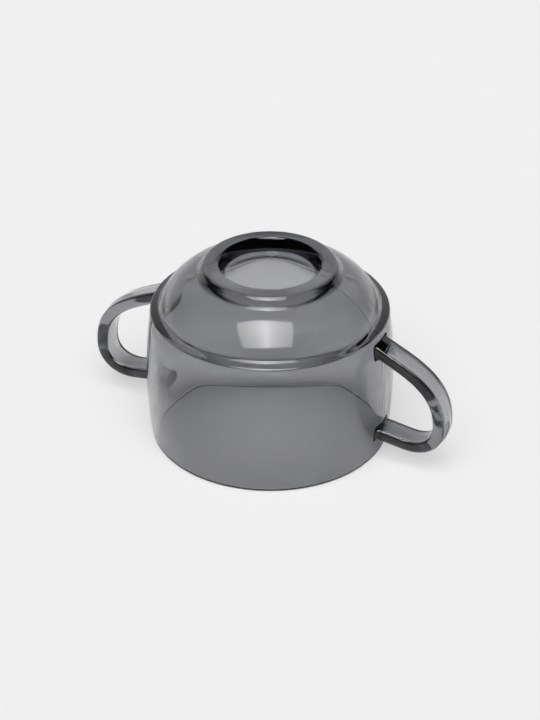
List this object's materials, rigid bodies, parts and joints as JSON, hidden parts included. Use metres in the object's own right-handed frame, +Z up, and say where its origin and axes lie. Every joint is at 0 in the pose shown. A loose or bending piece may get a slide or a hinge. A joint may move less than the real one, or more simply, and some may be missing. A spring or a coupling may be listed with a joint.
{
  "type": "soup mug",
  "caption": "Smoke-grey pressed-glass soup mug with loop handles on opposite sides, a stepped rounded base and a foot ring, standing upside down on its rim.",
  "frame": {"origin": "on the table under the middle of the rim, with the mug standing upside down on its rim", "axes": "+X from the axis through the right handle, +Z up from the rim to the foot ring"},
  "size_m": [0.1728, 0.11, 0.084],
  "materials": {
    "smoke_glass": "clear polished smoke-grey glass"
  },
  "bodies": {
    "root": {"bowl": "smoke_glass", "foot_ring": "smoke_glass", "handle_left": "smoke_glass", "handle_right": "smoke_glass"}
  },
  "joints": []
}
